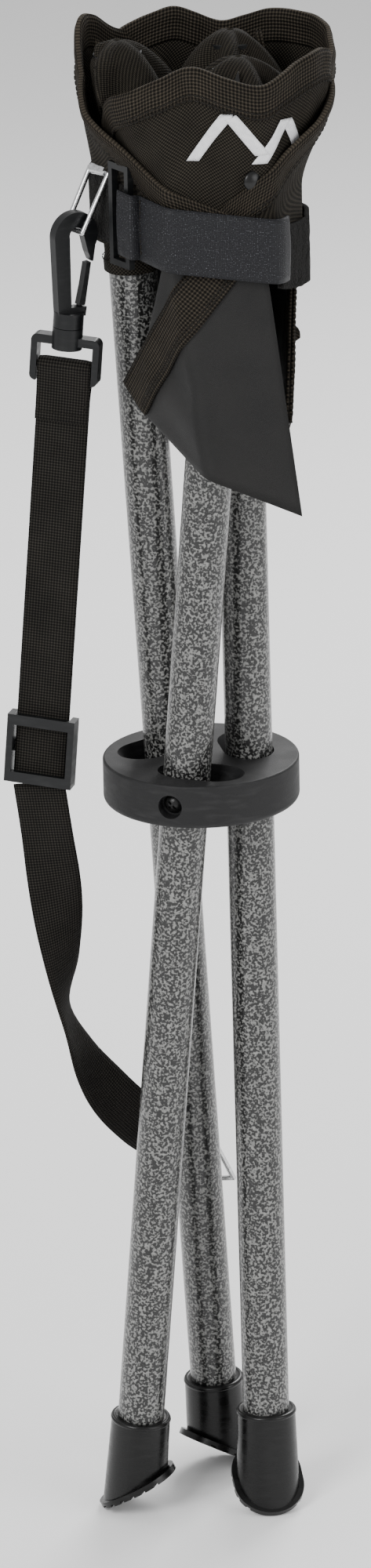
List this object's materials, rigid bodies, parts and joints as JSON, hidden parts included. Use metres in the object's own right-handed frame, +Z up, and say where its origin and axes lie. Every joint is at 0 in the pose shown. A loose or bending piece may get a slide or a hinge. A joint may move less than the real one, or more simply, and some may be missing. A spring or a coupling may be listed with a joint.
{
  "type": "three leg stool",
  "caption": "Folding three-leg camp stool shown folded: speckled steel legs through a slotted hub, fabric seat with corner pockets, closure strap and shoulder strap.",
  "frame": {"origin": "on the hub axis at ground level, with the stool standing folded", "axes": "+Z up along the hub axis, -Y to the front where the closure strap's hook tape lies, +X to the right"},
  "size_m": [0.1466, 0.1039, 0.7207],
  "materials": {
    "hub_plastic": "matte, faintly scuffed moulded nylon",
    "hammertone": "silver powder coat with dense black speckle, satin gloss",
    "black_plastic": "satin moulded plastic",
    "foot_rubber": "smooth satin rubber",
    "black_steel": "black oxide, semi-gloss",
    "bright_steel": "bright zinc plate",
    "polyester": "coarse woven polyester",
    "coated_fabric": "smooth coated underside",
    "hem_webbing": "woven binding webbing",
    "hook_tape": "fine hook tape",
    "loop_tape": "brushed loop tape",
    "strap_webbing": "plain woven webbing"
  },
  "bodies": {
    "hub": {"hub_disc": "hub_plastic", "pivot_screw_a": "black_steel", "pivot_screw_b": "black_steel", "pivot_screw_c": "black_steel"},
    "leg_a": {"leg_a_tube": "hammertone", "leg_a_plug": "black_plastic", "leg_a_foot": "foot_rubber", "leg_a_pocket": "polyester", "leg_a_rivet": "black_steel"},
    "leg_b": {"leg_b_tube": "hammertone", "leg_b_plug": "black_plastic", "leg_b_foot": "foot_rubber", "leg_b_pocket": "polyester", "leg_b_rivet": "black_steel"},
    "leg_c": {"leg_c_tube": "hammertone", "leg_c_plug": "black_plastic", "leg_c_foot": "foot_rubber", "leg_c_pocket": "polyester", "leg_c_rivet": "black_steel", "closure_ring": "black_plastic", "closure_loop_tape": "loop_tape", "bail_clip_upper": "bright_steel", "bail_rivet_upper": "black_steel", "bail_clip_lower": "bright_steel", "bail_rivet_lower": "black_steel", "wire_bail_lower": "bright_steel", "strap_lower": "strap_webbing"},
    "seat_a_outer": {"seat_a_outer": "coated_fabric", "hem_a_outer": "hem_webbing"},
    "tip_a_outer": {"tip_a_outer": "coated_fabric", "tip_hem_a_outer": "hem_webbing"},
    "seat_a_inner": {"seat_a_inner": "coated_fabric", "hem_a_inner": "hem_webbing"},
    "tip_a_inner": {"tip_a_inner": "coated_fabric", "tip_hem_a_inner": "hem_webbing"},
    "seat_b_outer": {"seat_b_outer": "coated_fabric", "hem_b_outer": "hem_webbing"},
    "tip_b_outer": {"tip_b_outer": "coated_fabric", "tip_hem_b_outer": "hem_webbing"},
    "seat_b_inner": {"seat_b_inner": "coated_fabric", "hem_b_inner": "hem_webbing"},
    "tip_b_inner": {"tip_b_inner": "coated_fabric", "tip_hem_b_inner": "hem_webbing"},
    "seat_c_outer": {"seat_c_outer": "coated_fabric", "hem_c_outer": "hem_webbing"},
    "tip_c_outer": {"tip_c_outer": "coated_fabric", "tip_hem_c_outer": "hem_webbing"},
    "seat_c_inner": {"seat_c_inner": "coated_fabric", "hem_c_inner": "hem_webbing"},
    "tip_c_inner": {"tip_c_inner": "coated_fabric", "tip_hem_c_inner": "hem_webbing"},
    "closure_strap": {"closure_hook_tape": "hook_tape"},
    "carry_strap": {"wire_bail_upper": "bright_steel", "swivel_loop": "black_plastic", "strap_upper": "strap_webbing"},
    "snap_hook": {"snap_hook_body": "black_plastic"},
    "snap_gate": {"snap_hook_gate": "black_plastic"},
    "slider": {"strap_slider": "black_plastic"}
  },
  "joints": [
    {"name": "leg_a_pivot", "type": "hinge", "parent": "hub", "child": "leg_a", "pos_m": [-0.00749, -0.02175, 0.37], "axis": [0.3256, 0.9455, 0], "range_deg": [0, 29.8], "deforming": ["seat_a_outer", "hem_a_outer", "tip_a_outer", "tip_hem_a_outer", "seat_a_inner", "hem_a_inner", "tip_a_inner", "tip_hem_a_inner", "seat_b_outer", "hem_b_outer", "tip_b_outer", "tip_hem_b_outer", "seat_b_inner", "hem_b_inner", "tip_b_inner", "tip_hem_b_inner", "seat_c_outer", "hem_c_outer", "tip_c_outer", "tip_hem_c_outer", "seat_c_inner", "hem_c_inner", "tip_c_inner", "tip_hem_c_inner", "closure_hook_tape", "closure_loop_tape", "closure_ring"]},
    {"name": "leg_b_pivot", "type": "hinge", "parent": "hub", "child": "leg_b", "pos_m": [0.02258, 0.00439, 0.37], "axis": [-0.9816, -0.1908, 0], "range_deg": [0, 32.6]},
    {"name": "leg_c_pivot", "type": "hinge", "parent": "hub", "child": "leg_c", "pos_m": [-0.01509, 0.01736, 0.37], "axis": [0.6561, -0.7547, 0], "range_deg": [0, 31.4]},
    {"name": "seat_a_outer_fold", "type": "hinge", "parent": "leg_a", "child": "seat_a_outer", "pos_m": [0.02259, -0.0479, 0.71955], "axis": [0.6034, 0.3848, 0.6985], "range_deg": [0, 89.09]},
    {"name": "tip_a_outer_unbend", "type": "hinge", "parent": "seat_a_outer", "child": "tip_a_outer", "pos_m": [-0.00492, -0.0479, 0.61543], "axis": [-0.1219, 0, 0.9925], "range_deg": [0, 55.01]},
    {"name": "seat_a_inner_fold", "type": "hinge", "parent": "leg_a", "child": "seat_a_inner", "pos_m": [0.02259, -0.0461, 0.71955], "axis": [-0.2043, 0.5314, -0.8221], "range_deg": [0, 128.25]},
    {"name": "tip_a_inner_unbend", "type": "hinge", "parent": "seat_a_inner", "child": "tip_a_inner", "pos_m": [-0.00399, -0.0461, 0.61554], "axis": [-0.1219, 0, 0.9925], "range_deg": [0, 55.01]},
    {"name": "seat_b_outer_fold", "type": "hinge", "parent": "leg_b", "child": "seat_b_outer", "pos_m": [0.03346, 0.02672, 0.72069], "axis": [-0.6156, 0.3225, 0.719], "range_deg": [0, 87.54]},
    {"name": "tip_b_outer_unbend", "type": "hinge", "parent": "seat_b_outer", "child": "tip_b_outer", "pos_m": [0.04721, 0.00289, 0.61656], "axis": [0.0609, -0.1055, 0.9925], "range_deg": [0, 30.01]},
    {"name": "seat_b_inner_fold", "type": "hinge", "parent": "leg_b", "child": "seat_b_inner", "pos_m": [0.0319, 0.02582, 0.72069], "axis": [-0.352, -0.4227, -0.8351], "range_deg": [0, 127.05]},
    {"name": "tip_b_inner_unbend", "type": "hinge", "parent": "seat_b_inner", "child": "tip_b_inner", "pos_m": [0.04541, 0.0024, 0.61662], "axis": [0.0609, -0.1055, 0.9925], "range_deg": [0, 30.01]},
    {"name": "seat_c_outer_fold", "type": "hinge", "parent": "leg_c", "child": "seat_c_outer", "pos_m": [-0.04123, 0.01552, 0.72031], "axis": [-0.212, -0.6101, 0.7634], "range_deg": [0, 100.98]},
    {"name": "tip_c_outer_unbend", "type": "hinge", "parent": "seat_c_outer", "child": "tip_c_outer", "pos_m": [-0.00379, 0.04373, 0.62334], "axis": [-0.0557, -0.042, 0.9976], "range_deg": [0, 33.01]},
    {"name": "seat_c_inner_fold", "type": "hinge", "parent": "leg_c", "child": "seat_c_inner", "pos_m": [-0.04015, 0.01408, 0.72031], "axis": [0.6116, -0.127, -0.7809], "range_deg": [0, 103.67]},
    {"name": "tip_c_inner_unbend", "type": "hinge", "parent": "seat_c_inner", "child": "tip_c_inner", "pos_m": [-0.00313, 0.04197, 0.6233], "axis": [-0.0557, -0.042, 0.9976], "range_deg": [0, 33.01]},
    {"name": "carry_strap_swing", "type": "hinge", "parent": "leg_c", "child": "carry_strap", "pos_m": [-0.04072, -0.00492, 0.66445], "axis": [-0.6561, 0.7547, 0], "range_deg": [0, 12], "deforming": ["strap_lower"]},
    {"name": "snap_hook_swivel", "type": "hinge", "parent": "carry_strap", "child": "snap_hook", "pos_m": [-0.05474, -0.01546, 0.617], "axis": [0.0854, 0, 0.9963], "range_deg": [-12, 12]},
    {"name": "snap_hook_gate_hinge", "type": "hinge", "parent": "snap_hook", "child": "snap_gate", "pos_m": [-0.0516, -0.01279, 0.60147], "axis": [0.5132, -0.8572, -0.044], "range_deg": [0, 14], "stiffness_Nm_per_rad": 0.05, "springref_deg": -17.19},
    {"name": "strap_slider_slide", "type": "slide", "parent": "carry_strap", "child": "slider", "axis": [0.0854, 0, 0.9963], "range_m": [0, 0.12]},
    {"name": "closure_strap_open", "type": "hinge", "parent": "leg_c", "child": "closure_strap", "pos_m": [-0.03115, -0.02708, 0.642], "axis": [0, 0, -1], "range_deg": [0, 100], "deforming": ["closure_hook_tape"]}
  ],
  "couplings": [
    {"joint": "leg_b_pivot", "follows": "leg_a_pivot", "ratio": 1.094},
    {"joint": "leg_c_pivot", "follows": "leg_a_pivot", "ratio": 1.0537},
    {"joint": "seat_a_outer_fold", "follows": "leg_a_pivot", "ratio": 2.9892},
    {"joint": "tip_a_outer_unbend", "follows": "leg_a_pivot", "ratio": 1.8456},
    {"joint": "seat_a_inner_fold", "follows": "leg_a_pivot", "ratio": 4.3034},
    {"joint": "tip_a_inner_unbend", "follows": "leg_a_pivot", "ratio": 1.8456},
    {"joint": "seat_b_outer_fold", "follows": "leg_a_pivot", "ratio": 2.9373},
    {"joint": "tip_b_outer_unbend", "follows": "leg_a_pivot", "ratio": 1.0067},
    {"joint": "seat_b_inner_fold", "follows": "leg_a_pivot", "ratio": 4.263},
    {"joint": "tip_b_inner_unbend", "follows": "leg_a_pivot", "ratio": 1.0067},
    {"joint": "seat_c_outer_fold", "follows": "leg_a_pivot", "ratio": 3.3884},
    {"joint": "tip_c_outer_unbend", "follows": "leg_a_pivot", "ratio": 1.1074},
    {"joint": "seat_c_inner_fold", "follows": "leg_a_pivot", "ratio": 3.4784},
    {"joint": "tip_c_inner_unbend", "follows": "leg_a_pivot", "ratio": 1.1074}
  ]
}
